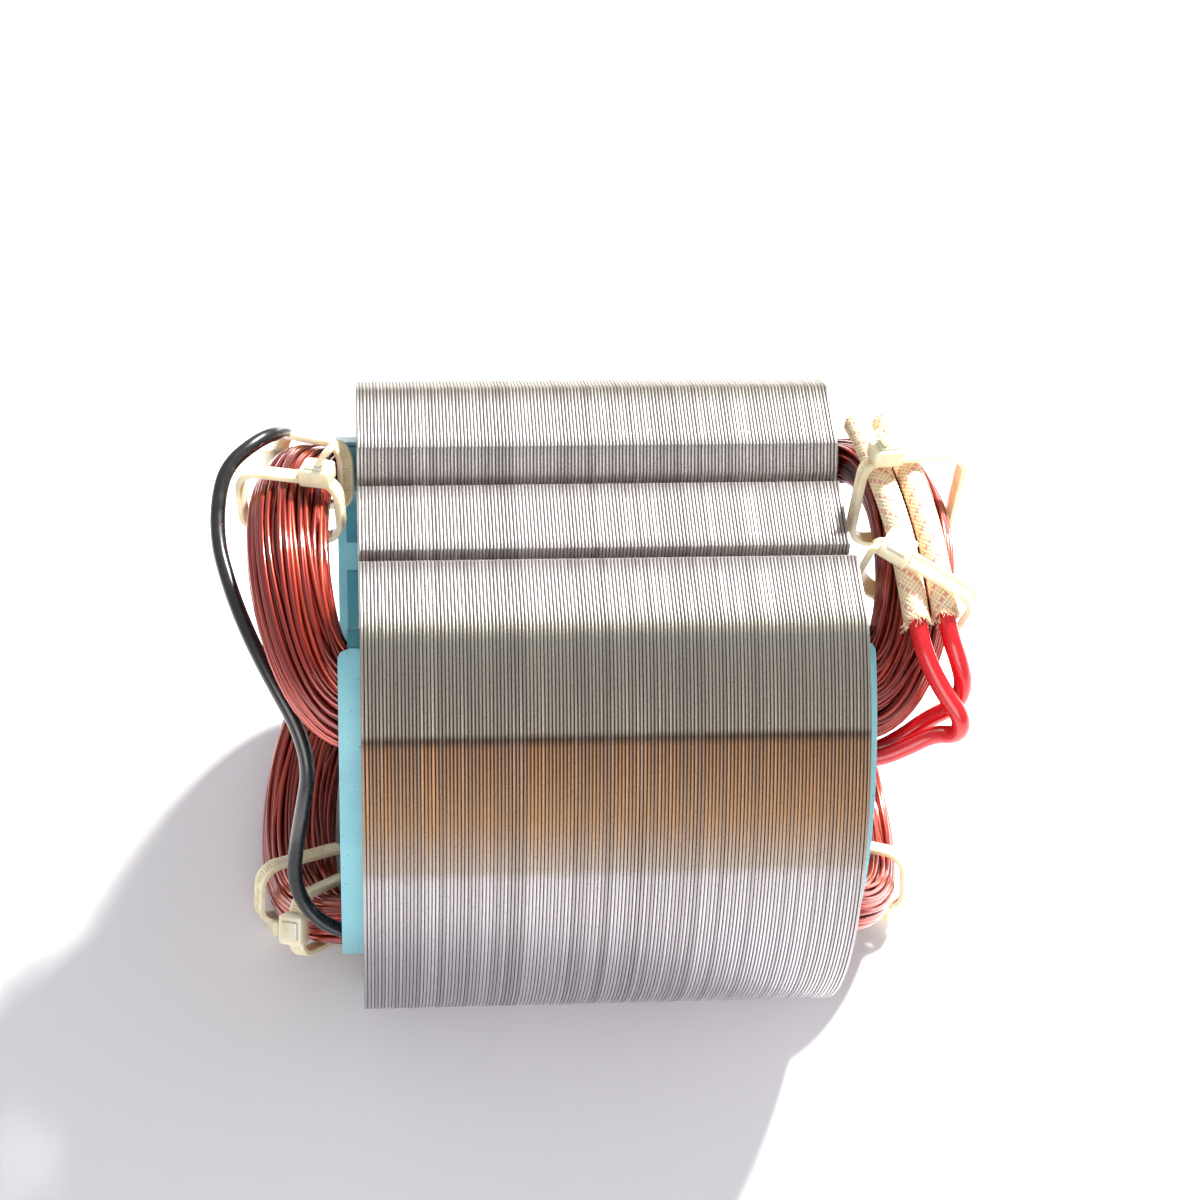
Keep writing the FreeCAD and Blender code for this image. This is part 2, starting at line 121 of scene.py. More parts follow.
# A mesh object at the origin from points in millimetres, quads, loose triangles and per-vertex values.
def makePiece(name, points, quads, material, replaced=(), values=None, triangles=None,
              sharpAngle=40.0):
    points = np.asarray(points, float).reshape(-1, 3) * metre
    mesh = bpy.data.meshes.new(name)
    corners = [np.asarray(quads, np.int32).ravel()]
    sizes = [np.full(len(quads), 4)]
    if triangles is not None and len(triangles):
        corners.append(np.asarray(triangles, np.int32).ravel())
        sizes.append(np.full(len(triangles), 3))
    corners = np.concatenate(corners)
    sizes = np.concatenate(sizes)
    mesh.vertices.add(len(points))
    mesh.vertices.foreach_set("co", points.astype(np.float32).ravel())
    mesh.loops.add(len(corners))
    mesh.loops.foreach_set("vertex_index", corners.astype(np.int32))
    mesh.polygons.add(len(sizes))
    mesh.polygons.foreach_set("loop_start", (np.cumsum(sizes) - sizes).astype(np.int32))
    mesh.update(calc_edges=True)
    mesh.validate()
    for key, value in (values or {}).items():
        attribute = mesh.attributes.new(key, "FLOAT", "POINT")
        attribute.data.foreach_set("value", np.asarray(value, np.float32).ravel())
    mesh.shade_smooth()
    mesh.set_sharp_from_angle(angle=math.radians(sharpAngle))
    piece = bpy.data.objects.new(name, mesh)
    bpy.context.scene.collection.objects.link(piece)
    mesh.materials.append(material)
    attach(piece, "root")
    if replaced:
        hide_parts(*replaced)
    print(name, len(points), "vertices", int((sizes - 2).sum()), "triangles")


# Several (points, quads, values) put together as one: indices are shifted by the vertices before them.
def gather(parts):
    points, quads, values, start = [], [], {}, 0
    for part in parts:
        points.append(part[0].reshape(-1, 3))
        quads.append(part[1] + start)
        start += len(points[-1])
        for key, value in part[2].items():
            values.setdefault(key, []).append(np.asarray(value, float).ravel())
    return np.concatenate(points), np.concatenate(quads), {k: np.concatenate(v) for k, v in values.items()}


def unit(v):
    return v / np.maximum(np.linalg.norm(v, axis=-1, keepdims=True), 1e-9)


# Round tubes: a point is centre + r (cos a n + sin a b), n being the reference made square to the tangent.
# centres is (tube, station, 3). The result is (points, quads) over all the tubes.
def tubes(centres, reference, radius, sides, closed):
    count, stations = centres.shape[:2]
    if closed:
        tangent = np.roll(centres, -1, 1) - np.roll(centres, 1, 1)
    else:
        tangent = np.gradient(centres, axis=1)
    tangent = unit(tangent)
    normal = unit(reference - (reference * tangent).sum(-1, keepdims=True) * tangent)
    binormal = np.cross(tangent, normal)
    a = np.arange(sides) / sides * 2 * math.pi
    radius = np.broadcast_to(np.asarray(radius, float), (count, stations))[..., None, None]
    ring = np.cos(a)[:, None] * normal[:, :, None] + np.sin(a)[:, None] * binormal[:, :, None]
    points = centres[:, :, None] + radius * ring
    quads = gridFaces(stations, sides, closed, True)
    every = quads[None] + (np.arange(count) * stations * sides)[:, None, None]
    return points.reshape(-1, 3), every.reshape(-1, 4)


# Tangents and two square directions along a line, each turned from the one before by the least amount.
def carriedFrame(line):
    tangent = unit(np.gradient(line, axis=0))
    normal = np.empty_like(line)
    start = np.cross(tangent[0], [0.0, 0.0, 1.0])
    normal[0] = start / np.linalg.norm(start)
    for k in range(1, len(line)):
        n = normal[k - 1] - tangent[k] * normal[k - 1].dot(tangent[k])
        normal[k] = n / np.linalg.norm(n)
    return tangent, normal, np.cross(tangent, normal)


# Points read from a quadratic NURBS spline that has the route's points as its controls, evenly spaced.
def smoothLine(route, spacing):
    data = bpy.data.curves.new("line", "CURVE")
    data.dimensions = "3D"
    data.resolution_u = 24
    spline = data.splines.new("NURBS")
    spline.points.add(len(route) - 1)
    spline.points.foreach_set("co", np.column_stack([route, np.ones(len(route))]).ravel())
    spline.order_u = 3
    spline.use_endpoint_u = True
    holder = bpy.data.objects.new("line", data)
    bpy.context.scene.collection.objects.link(holder)
    mesh = bpy.data.meshes.new_from_object(holder)
    line = np.zeros(len(mesh.vertices) * 3)
    mesh.vertices.foreach_get("co", line)
    bpy.data.objects.remove(holder)
    bpy.data.meshes.remove(mesh)
    line = line.reshape(-1, 3)
    along = np.concatenate([[0], np.cumsum(np.linalg.norm(np.diff(line, axis=0), axis=1))])
    at = np.linspace(0, along[-1], max(8, int(along[-1] / spacing)))
    return np.column_stack([np.interp(at, along, line[:, k]) for k in range(3)])


# A box with round edges: each point of a cube's grid is its nearest inner-box point plus the radius outwards.
def roundedBox(half, radius, steps=3):
    half = np.asarray(half, float)
    lean = np.linspace(0, 1, steps + 1)
    edge = 1 - radius / half.max() * 0.999
    t = np.concatenate([-1 + (1 - edge) * lean, [0.0], 1 - (1 - edge) * lean[::-1]])
    u, v = np.meshgrid(t, t, indexing="ij")
    one = np.ones_like(u)
    faces = [(one, u, v), (-one, v, u), (v, one, u), (u, -one, v), (u, v, one), (v, u, -one)]
    points = np.concatenate([np.stack(face, -1).reshape(-1, 3) for face in faces]) * half
    inner = np.clip(points, -(half - radius), half - radius)
    away = points - inner
    flat = np.linalg.norm(away, axis=1) < 1e-9
    away[flat] = points[flat]
    points = inner + radius * unit(away)
    quads = np.concatenate([gridFaces(len(t), len(t), start=k * len(t) ** 2) for k in range(6)])
    return points, quads


# Short ways to add shader nodes to one material's tree.
class Nodes:
    def __init__(self, name):
        self.material = bpy.data.materials.new(name)
        self.material.use_nodes = True
        self.tree = self.material.node_tree
        self.shader = self.tree.nodes["Principled BSDF"]

    def add(self, kind, inputs=None, **settings):
        node = self.tree.nodes.new(kind)
        for key, value in settings.items():
            setattr(node, key, value)
        for key, value in (inputs or {}).items():
            self.put(node, key, value)
        return node

    def put(self, node, key, value):
        if isinstance(value, bpy.types.NodeSocket):
            self.tree.links.new(value, node.inputs[key])
        else:
            node.inputs[key].default_value = value

    def set(self, **inputs):
        for key, value in inputs.items():
            self.put(self.shader, key.replace("_", " "), value)

    def attribute(self, name):
        return self.add("ShaderNodeAttribute", attribute_name=name).outputs["Fac"]

    def place(self):
        return self.add("ShaderNodeTexCoord").outputs["Object"]

    def math(self, operation, a, b):
        return self.add("ShaderNodeMath", {0: a, 1: b}, operation=operation).outputs[0]

    def spread(self, value, low, high, toLow=0.0, toHigh=1.0):
        return self.add("ShaderNodeMapRange", {
            "Value": value, "From Min": low, "From Max": high, "To Min": toLow, "To Max": toHigh}).outputs[0]

    def noise(self, scale, detail=3.0, place=None, stretch=(1, 1, 1)):
        where = self.add("ShaderNodeMapping", {"Vector": place or self.place(), "Scale": stretch}).outputs[0]
        texture = self.add("ShaderNodeTexNoise", {"Vector": where, "Scale": scale, "Detail": detail})
        return texture.outputs["Fac"]

    def mix(self, share, a, b):
        node = self.add("ShaderNodeMix", data_type="RGBA")
        self.put(node, 0, share)
        for key, value in ((6, a), (7, b)):
            self.put(node, key, value if isinstance(value, bpy.types.NodeSocket) else (*value, 1.0))
        return node.outputs[2]

    def ramp(self, value, stops):
        node = self.add("ShaderNodeValToRGB", {"Fac": value})
        elements = node.color_ramp.elements
        while len(elements) < len(stops):
            elements.new(0.5)
        for element, (at, colour) in zip(elements, stops):
            element.position = at
            element.color = (*colour, 1.0)
        return node.outputs["Color"]

    def bump(self, height, distance, strength):
        bump = self.add("ShaderNodeBump", {"Height": height, "Distance": distance, "Strength": strength})
        self.put(self.shader, "Normal", bump.outputs["Normal"])


# Punched steel edges: bright tops, dark joints, and on the round side zones of colour by the angle round the
# stack, which are painted reflection.
def sheetEdgeMaterial():
    n = Nodes("sheetEdge")
    tone = n.attribute("tone")
    gap = n.attribute("gap")
    angle = n.attribute("sectionAngle")
    side = n.attribute("roundSide")
    speck = n.noise(5200.0, 2.0)
    silver = (0.50, 0.47, 0.46)
    # Painted reflection on the round side, in bands by the angle: pale lavender up to about 17 degrees,
    # browns above it with a thin black band near 41 degrees.
    paintedReflection = n.ramp(n.math("DIVIDE", angle, 90.0), [
        (0.0, (0.56, 0.54, 0.57)), (0.17, (0.50, 0.48, 0.48)), (0.195, (0.40, 0.34, 0.29)),
        (0.30, (0.40, 0.24, 0.13)), (0.44, (0.28, 0.15, 0.08)), (0.456, (0.08, 0.05, 0.035)),
        (0.47, (0.30, 0.26, 0.21)), (0.66, (0.36, 0.34, 0.29))])
    colour = n.mix(side, silver, paintedReflection)
    colour = n.mix(n.spread(tone, 0, 1, 0.0, 0.5), colour, (0.16, 0.14, 0.13))
    colour = n.mix(n.spread(speck, 0.56, 0.72, 0.0, 0.55), colour, (0.06, 0.045, 0.03))
    dark = n.mix(n.spread(gap, 0.25, 0.75), colour, (0.012, 0.009, 0.007))
    n.set(Base_Color=dark, Metallic=n.spread(gap, 0.3, 0.8, 0.85, 0.1), Roughness=0.42)
    n.bump(n.noise(2600.0, 3.0), 0.00004, 0.6)
    return n.material


# The flat face of an end sheet: rolled steel with faint grain and stains.
def sheetFaceMaterial():
    n = Nodes("sheetFace")
    grain = n.noise(900.0, 4.0, stretch=(1, 0.15, 1))
    stain = n.noise(45.0, 4.0)
    colour = n.mix(n.spread(stain, 0.4, 0.75), (0.34, 0.33, 0.32), (0.20, 0.17, 0.15))
    n.set(Base_Color=colour, Metallic=0.9, Roughness=n.spread(grain, 0.3, 0.7, 0.34, 0.5))
    return n.material


# Polyester film and paper: satin, slightly see-through at its thin edge, with specks of dirt.
def insulationMaterial(name, colour, shade):
    n = Nodes(name)
    cloud = n.noise(130.0, 3.0)
    speck = n.noise(2400.0, 2.0)
    base = n.mix(n.spread(cloud, 0.35, 0.7), colour, shade)
    base = n.mix(n.spread(speck, 0.68, 0.76), base, (0.05, 0.06, 0.06))
    n.set(Base_Color=base, Roughness=0.42, Subsurface_Weight=0.15, Subsurface_Radius=(0.001, 0.001, 0.001),
          Subsurface_Scale=0.6)
    n.bump(n.noise(1800.0, 2.0), 0.00003, 0.3)
    return n.material


# Red enamel over copper: a tinted metal under a clear coat, each wire a little lighter or darker.
def wireMaterial():
    n = Nodes("enamelledWire")
    tone = n.attribute("tone")
    colour = n.ramp(tone, [
        (0.0, (0.16, 0.014, 0.010)), (0.5, (0.32, 0.035, 0.020)), (1.0, (0.50, 0.08, 0.04))])
    n.set(Base_Color=colour, Metallic=0.65, Roughness=0.3, Coat_Weight=1.0, Coat_Roughness=0.08, Coat_IOR=1.6,
          Coat_Tint=(1.0, 0.75, 0.7, 1.0))
    return n.material


# Natural nylon: milky, light passes a little way into it.
def nylonMaterial():
    n = Nodes("nylon")
    cloud = n.noise(400.0, 2.0)
    colour = n.mix(n.spread(cloud, 0.35, 0.7), (0.86, 0.78, 0.58), (0.76, 0.64, 0.40))
    n.set(Base_Color=colour, Roughness=0.34, Subsurface_Weight=0.55, Subsurface_Scale=1.0,
          Subsurface_Radius=(0.0016, 0.0012, 0.0007), Coat_Weight=0.2, Coat_Roughness=0.15)
    return n.material


# Braided glass fibre, cream with pink tracer yarns, browner in the valleys as painted shade, and browner at
# the cut ends and on the lining inside them, the lining's brown being painted shade.
def sleeveMaterial():
    n = Nodes("braid")
    height = n.attribute("weave")
    tracer = n.attribute("tracer")
    mouth = n.attribute("mouth")
    fine = n.noise(3500.0, 2.0)
    # Painted shade: the weave's valleys are mixed towards brown.
    base = n.mix(n.spread(height, 0.2, 0.8), (0.55, 0.34, 0.17), (0.90, 0.76, 0.52))
    base = n.mix(n.math("MULTIPLY", tracer, 0.75), base, (0.62, 0.14, 0.20))
    # Browner at the cut ends; on the lining inside the mouths this brown is painted shade.
    base = n.mix(n.math("MULTIPLY", mouth, 0.5), base, (0.50, 0.27, 0.12))
    base = n.mix(n.spread(fine, 0.55, 0.8, 0.0, 0.35), base, (0.55, 0.38, 0.22))
    n.set(Base_Color=base, Roughness=0.85, Subsurface_Weight=0.2, Subsurface_Radius=(0.0008, 0.0006, 0.0004),
          Subsurface_Scale=1.0)
    n.bump(fine, 0.00008, 0.5)
    return n.material


# A lead's PVC: one colour under a shiny skin with faint handling marks.
def glossMaterial(name, colour, roughness):
    n = Nodes(name)
    marks = n.noise(700.0, 3.0)
    n.set(Base_Color=(*colour, 1.0), Roughness=n.spread(marks, 0.35, 0.7, roughness, roughness + 0.12),
          Specular_IOR_Level=0.6, Coat_Weight=0.3, Coat_Roughness=0.08)
    n.bump(n.noise(500.0, 2.0), 0.00006, 0.4)
    return n.material


materials = {
    "edge": sheetEdgeMaterial(),
    "face": sheetFaceMaterial(),
    "liner": insulationMaterial("slotLiner", (0.27, 0.62, 0.68), (0.22, 0.52, 0.60)),
    # The slot cells get the liner's film in a darker teal: painted shade.
    "cell": insulationMaterial("slotCellPaintedShade", (0.07, 0.30, 0.36), (0.05, 0.22, 0.28)),
    "wire": wireMaterial(),
    "nylon": nylonMaterial(),
    "sleeve": sleeveMaterial(),
    "red": glossMaterial("redLead", (0.62, 0.006, 0.012), 0.2),
    "black": glossMaterial("blackLead", (0.010, 0.010, 0.011), 0.22),
}
print("materials made")


def polar(radius, angle):
    a = np.radians(angle)
    return np.stack([radius * np.cos(a), radius * np.sin(a)], -1)


# Points of a circle about the bore's axis from one angle to another.
def arcPoints(radius, start, end, count):
    return polar(radius, np.linspace(start, end, count))


# The sheet's outer edge, counter-clockwise from the far top corner, as (y, z).
def outerOutline(arcCount):
    corner = math.degrees(math.asin(flatHeight / stack["yokeRadius"]))
    land = flatHeight - stack["channelDepth"]
    bottom = land - stack["grooveDepth"]
    wide, floorWide = stack["channelHalfWidth"], stack["channelFloorHalfWidth"]
    middle = floorWide - stack["grooveWidth"]
    lip, landLip = stack["lip"], stack["landLip"]
    half = np.array([*((y, flatHeight) for y in stack["flatPoints"]), (wide + lip, flatHeight),
                     (wide, flatHeight - lip), (floorWide, land), (floorWide, bottom), (middle, bottom),
                     (middle, land - landLip), (middle - landLip, land), (middle / 2, land)])
    top = np.concatenate([half, half[::-1] * (-1, 1)])
    left = arcPoints(stack["yokeRadius"], 180 - corner, 180 + corner, arcCount)
    return np.concatenate([top, left, -top, -left])


# Radius of the pole shoe's back: a straight rise from tip to root less a sine bow.
def shoeBack(angle):
    rootRadius = math.hypot(stack["poleHalfWidth"], stack["shoeRootHeight"])
    rootAngle = math.degrees(math.atan2(stack["shoeRootHeight"], stack["poleHalfWidth"]))
    tipRadius = stack["boreRadius"] + stack["shoeTipThickness"]
    share = (angle - stack["shoeTip"]) / (rootAngle - stack["shoeTip"])
    return tipRadius + (rootRadius - tipRadius) * share - stack["shoeBackRise"] * np.sin(math.pi * share)


# A quarter of the window from the crown of the bore to the slot's wall at the horizontal.
def windowQuarter():
    tip, corner = stack["shoeTip"], stack["slotCorner"]
    thick, bore = stack["shoeTipThickness"], stack["boreRadius"]
    ceiling = stack["slotRadius"] * math.sin(math.radians(corner))
    wide, r = stack["poleHalfWidth"], stack["poleCorner"]
    rootAngle = math.degrees(math.atan2(stack["shoeRootHeight"], wide))
    a = np.linspace(-90, 90, 5)[1:-1]
    middle = bore + thick / 2
    bulge = np.degrees(stack["noseShare"] * thick / bore)
    nose = polar(middle + thick / 2 * np.sin(np.radians(a)), tip - bulge * np.cos(np.radians(a)))
    backAngles = np.linspace(tip, rootAngle, 6)
    back = polar(shoeBack(backAngles), backAngles)
    b = np.radians(np.linspace(180, 90, 4))
    bend = np.stack([wide + r + r * np.cos(b), ceiling - r + r * np.sin(b)], -1)
    wall = arcPoints(stack["slotRadius"], corner, 0, 9)
    return np.concatenate([arcPoints(bore, 90, tip, 10), nose, back, bend, wall])


def windowOutline():
    quarter = windowQuarter()
    loops = []
    for sy, sz in ((1, 1), (1, -1), (-1, -1), (-1, 1)):
        part = quarter * (sy, sz)
        part = part if sy * sz > 0 else part[::-1]
        loops.append(part[:-1])
    return np.concatenate(loops)


# The mean direction of a loop's two edges at each point, turned a quarter turn to the right.
def outwardNormals(loop):
    edge = unit(np.roll(loop, -1, 0) - loop)
    tangent = unit(edge + np.roll(edge, 1, 0))
    return np.stack([tangent[:, 1], -tangent[:, 0]], -1)


# A skin over all the sheets: four stations to a sheet, the first down in the joint, each sheet off by a hair.
def sheetSkin(loop, normals, depth):
    sheets = stack["sheets"]
    pitch = 2 * stackEnd / sheets
    share = stack["edgeShare"]
    at = np.array([0.0, share, 0.5, 1 - share])
    down = np.array([depth, stack["edgeRound"], 0.0, stack["edgeRound"]])
    gap = np.array([1.0, 0.0, 0.0, 0.0])
    x = -stackEnd + pitch * (np.arange(sheets)[:, None] + at).ravel()
    ragged = rng.uniform(-1, 0.4, sheets) * stack["raggedness"]
    tones = rng.random(sheets) ** stack["toneLean"]
    inset = (down - ragged[:, None] * (down < depth)).ravel()
    gaps = np.tile(gap, sheets)
    tone = np.repeat(tones, 4)
    x[0] = -stackEnd
    inset[0] = stack["edgeRound"] * 2
    x = np.append(x, stackEnd)
    inset = np.append(inset, stack["edgeRound"] * 2)
    gaps = np.append(gaps, 0.2)
    gaps[0] = 0.2
    tone = np.append(tone, tone[-1])
    section = loop[None] - normals[None] * np.maximum(inset, 0)[:, None, None]
    points = np.concatenate([np.broadcast_to(x[:, None, None], (*section.shape[:2], 1)), section], -1)
    angle = np.degrees(np.arctan2(loop[:, 1], np.abs(loop[:, 0])))
    onSide = np.hypot(loop[:, 0], loop[:, 1]) > stack["yokeRadius"] - 0.1
    values = {
        "gap": np.repeat(gaps, len(loop)), "tone": np.repeat(tone, len(loop)),
        "sectionAngle": np.tile(angle, len(x)), "roundSide": np.tile(onSide.astype(float), len(x))}
    return points, gridFaces(len(x), len(loop), False, True), values


def buildStack():
    outer, inner = outerOutline(stack["arcSteps"]), windowOutline()
    outerNormals, innerNormals = outwardNormals(outer), outwardNormals(inner)
    sharp = stack["sharpAngle"]
    points, quads, values = sheetSkin(outer, outerNormals, stack["gapDepth"])
    makePiece("sheetEdges", points, quads, materials["edge"], ["lamination_stack"], values,
              sharpAngle=sharp)
    points, quads, values = sheetSkin(inner, innerNormals, stack["windowGapDepth"])
    makePiece("windowEdges", points, quads, materials["edge"], values=values, sharpAngle=sharp)
    rim = stack["edgeRound"] * 2
    for name, end in (("leftEndSheet", -1), ("rightEndSheet", 1)):
        outerLoop = outer - outerNormals * rim
        innerLoop = inner - innerNormals * rim
        loops = [[Vector((y, z, 0)) for y, z in loop] for loop in (outerLoop, innerLoop)]
        triangles = np.array(tessellate_polygon(loops))
        flat = np.concatenate([outerLoop, innerLoop])
        points = np.column_stack([np.full(len(flat), end * stackEnd), flat])
        makePiece(name, points, np.zeros((0, 4), int), materials["face"], triangles=triangles)


buildStack()


# A thin closed sheet from two grids of the same shape: both skins and the four edges between them.
def sheetPiece(name, outside, inside, slotName, material, node):
    rows, columns = outside.shape[:2]
    points = np.concatenate([outside.reshape(-1, 3), inside.reshape(-1, 3)])
    skin = gridFaces(rows, columns)
    other = skin[:, ::-1] + rows * columns
    index = np.arange(rows * columns).reshape(rows, columns)
    border = np.concatenate([index[0], index[1:, -1], index[-1, -2::-1], index[-2:0:-1, 0]])
    after = np.roll(border, -1)
    rim = np.stack([after, border, border + rows * columns, after + rows * columns], -1)
    makePiece(name, points, np.concatenate([skin, other, rim]), material, [node])


# A curved sheet on the slot's wall. Its ends draw in by a quarter circle within a corner radius of each edge.
def buildLiner(name, side):
    outerRadius = stack["slotRadius"] - liner["gap"]
    angle = np.linspace(-1, 1, liner["columns"])
    angle = np.sign(angle) * (1 - (1 - np.abs(angle)) ** liner["edgeCrowding"]) * liner["edgeAngle"]
    fromEdge = (liner["edgeAngle"] - np.abs(angle)) * math.radians(1) * outerRadius
    r = liner["corner"]
    draw = np.where(fromEdge < r, r - np.sqrt(np.maximum(r * r - (r - fromEdge) ** 2, 0)), 0)
    share = np.linspace(0, 1, liner["rows"])[:, None]
    left = -stackEnd - liner["leftOverhang"] + draw
    right = stackEnd + liner["rightOverhang"] - draw
    x = left + (right - left) * share
    skins = []
    for radius in (outerRadius, outerRadius - liner["thickness"]):
        yz = polar(radius, angle) * (side, 1)
        skins.append(np.concatenate([x[..., None], np.broadcast_to(yz, (*x.shape, 2))], -1))
    sheetPiece(name, *skins, "liner", materials["liner"], name)


# The slot cell's line at a distance from the slot's wall, from the yoke side round the pole to its loose
# tail.
def cellWall(offset):
    wide = stack["poleHalfWidth"] + offset
    ceiling = stack["slotRadius"] * math.sin(math.radians(stack["slotCorner"])) - offset
    outer = stack["slotRadius"] - liner["gap"] * 2 - liner["thickness"] - (offset - liner["gap"])
    turn = math.degrees(math.asin(ceiling / outer))
    tip = stack["shoeTip"]
    tail = stack["boreRadius"] + stack["shoeTipThickness"] + offset
    backAngles = np.linspace(cell["backAngle"], tip, 9)
    sag = np.array(cell["tailSag"])
    tailAngles = np.array([0.75, 0.5, 0.25, 0.0]) * (tip - cell["tailAngle"]) + cell["tailAngle"]
    return np.concatenate([
        arcPoints(outer, cell["startAngle"], turn, 8),
        [(wide + cell["corner"], ceiling), (wide, ceiling - cell["corner"])],
        [(wide, stack["shoeRootHeight"] + offset * cell["rootShare"])],
        polar(shoeBack(backAngles) + offset, backAngles),
        polar(tail - sag, tailAngles)])


def buildCell(name, side, pole):
    skins = []
    x = np.linspace(-stackEnd - cell["overhang"], stackEnd + cell["overhang"], 3)[:, None, None]
    for offset in (liner["gap"], liner["gap"] + cell["thickness"]):
        wall = cellWall(offset) * (side, pole)
        grid = np.broadcast_to(wall, (3, len(wall), 2))
        skins.append(np.concatenate([np.broadcast_to(x, (3, len(wall), 1)), grid], -1))
    sheetPiece(name, *skins, "slot_cell", materials["cell"], name)


for side, sideName in ((-1, "near"), (1, "far")):
    buildLiner(sideName + "_slot_liner", side)
    for pole, poleName in ((1, "upper"), (-1, "lower")):
        buildCell(f"{poleName}_{sideName}_slot_cell", side, pole)


# A wire's place as (distance along X, angle from the crown, radius), p from the pole outwards, q from the
# bore.
# The turn goes from 0, leaving the slot along X, to 90 at the crown. The angle is the leg's times the turn's
# cosine, the distance grows with its sine and the radius goes over from leg to crown with its sine squared.
def bundlePlace(p, q, turn):
    t = np.radians(turn)
    first, last = coil["firstAngle"], coil["lastAngle"]
    legAngle = (first + last) / 2 + (last - first) / 2 * p
    reach = (coil["innerReach"] + coil["outerReach"]) / 2 + (coil["outerReach"] - coil["innerReach"]) / 2 * p
    gap, thin = liner["gap"], cell["thickness"]
    legInner = shoeBack(90 - legAngle) + gap * 2 + thin + coil["gap"]
    legOuter = stack["slotRadius"] - gap * 2 - liner["thickness"] - thin - coil["gap"]
    legRadius = (legOuter + legInner) / 2 + (legOuter - legInner) / 2 * q
    outer, inner = coil["outerRadius"], coil["innerRadius"]
    crown = (outer + inner) / 2 + (outer - inner) / 2 * q
    crown = crown - coil["droop"] * np.maximum(p, 0) ** 2 * (1 + q) / 2
    start = stackEnd + coil["startGap"]
    x = start + (stackEnd + reach - start) * np.sin(t)
    return x, legAngle * np.cos(t), legRadius + (crown - legRadius) * np.sin(t) ** 2


def inCorner(x, angle, radius, end, side, pole):
    a = np.radians(angle)
    return np.stack([end * x, side * radius * np.sin(a), pole * radius * np.cos(a)], -1)


# p and q at an angle round the bundle: a superellipse, squarer in the slot than at the crown.
def roundedSquare(a, turn):
    leg, crown = coil["legSquareness"], coil["turnSquareness"]
    power = leg + (crown - leg) * np.sin(np.radians(turn)) ** 2
    c, s = np.cos(a), np.sin(a)
    size = (np.abs(c) ** power + np.abs(s) ** power) ** (-1 / power)
    return size * c, size * s


# Once round a coil: the turn, end and side at each station.
def loopStations():
    n = coil["stepsPerTurn"]
    up = np.linspace(0, 90, n + 1)
    turn = np.concatenate([up, up[-2::-1], up, up[-2::-1]])
    size = len(up) * 2 - 1
    end = np.repeat([1, -1], size)
    side = np.concatenate([np.full(n + 1, -1), np.full(n, 1), np.full(n + 1, 1), np.full(n, -1)])
    return turn, end, side


# Smooth random lines: a sum of sine waves round the loop, the faster ones smaller.
def wander(count, loop, amplitude, waves):
    total = np.zeros((count, len(loop)))
    for k in waves:
        total += rng.normal(0, 1, (count, 1)) / k ** 0.5 * np.sin(
            2 * math.pi * k * loop + rng.uniform(0, 2 * math.pi, (count, 1)))
    return amplitude * total / len(waves) ** 0.5


# One coil as enamelled wires in layers. A wire keeps its layer and slides a little round the bundle.
def buildCoil(name, pole):
    turn, end, side = loopStations()
    loop = np.arange(len(turn)) / len(turn)
    halfP = (coil["outerReach"] - coil["innerReach"]) / 2
    halfQ = (coil["outerRadius"] - coil["innerRadius"]) / 2
    room = coil["wireDiameter"] / 2
    uneven = coil["unevenness"]
    wires, tones = [], []
    for count, depth in coil["layers"]:
        a = (np.arange(count) + rng.uniform(-uneven, uneven, count))[:, None] / count * 2 * math.pi
        a = a + wander(count, loop, coil["slide"], coil["slideWaves"])
        level = depth - rng.uniform(0, coil["sink"], (count, 1))
        level = level + wander(count, loop, coil["rise"], coil["riseWaves"])
        level = np.minimum(level, 1.0)
        p, q = roundedSquare(a, turn)
        p = p * level * (1 - room / halfP)
        q = q * level * (1 - room / halfQ)
        wires.append(inCorner(*bundlePlace(p, q, turn), end, side, pole))
        tones.append(rng.random(count))
    centres = np.concatenate(wires)
    outward = centres.copy()
    outward[..., 0] = 0
    points, quads = tubes(centres, unit(outward), room, coil["sides"], True)
    tone = np.repeat(np.concatenate(tones), len(turn) * coil["sides"])
    makePiece(name, points, quads, materials["wire"], [name], {"tone": tone}, sharpAngle=180)


buildCoil("upper_field_coil", 1)
buildCoil("lower_field_coil", -1)


def bundleRing(turn, end, side, pole, count=96):
    p, q = roundedSquare(np.arange(count) / count * 2 * math.pi, turn)
    return inCorner(*bundlePlace(p, q, turn), end, side, pole)


# Centre and axes of a tie's plane: across the bundle, outward and along the wires.
def tieFrame(turn, end, side, pole):
    corners = ((-1.0, 0.0), (1.0, 0.0), (0.0, -1.0), (0.0, 1.0))
    spots = [inCorner(*bundlePlace(p, q, float(turn)), end, side, pole) for p, q in corners]
    centre = sum(spots) / 4
    across = unit(spots[1] - spots[0])
    out = spots[3] - spots[2]
    out = unit(out - across * out.dot(across))
    return centre, across, out, np.cross(across, out)


# How far the bundle reaches in the tie's plane, over the strap's width.
def tieExtent(turn, end, side, pole):
    centre, across, out, along = tieFrame(turn, end, side, pole)
    rings = [bundleRing(float(t), end, side, pole) for t in range(turn - 8, min(turn + 9, 91), 2)]
    away = np.concatenate(rings) - centre
    away = away[np.abs(away @ along) < tie["width"]]
    a, b = away @ across, away @ out
    return a.min(), a.max(), b.min(), b.max()


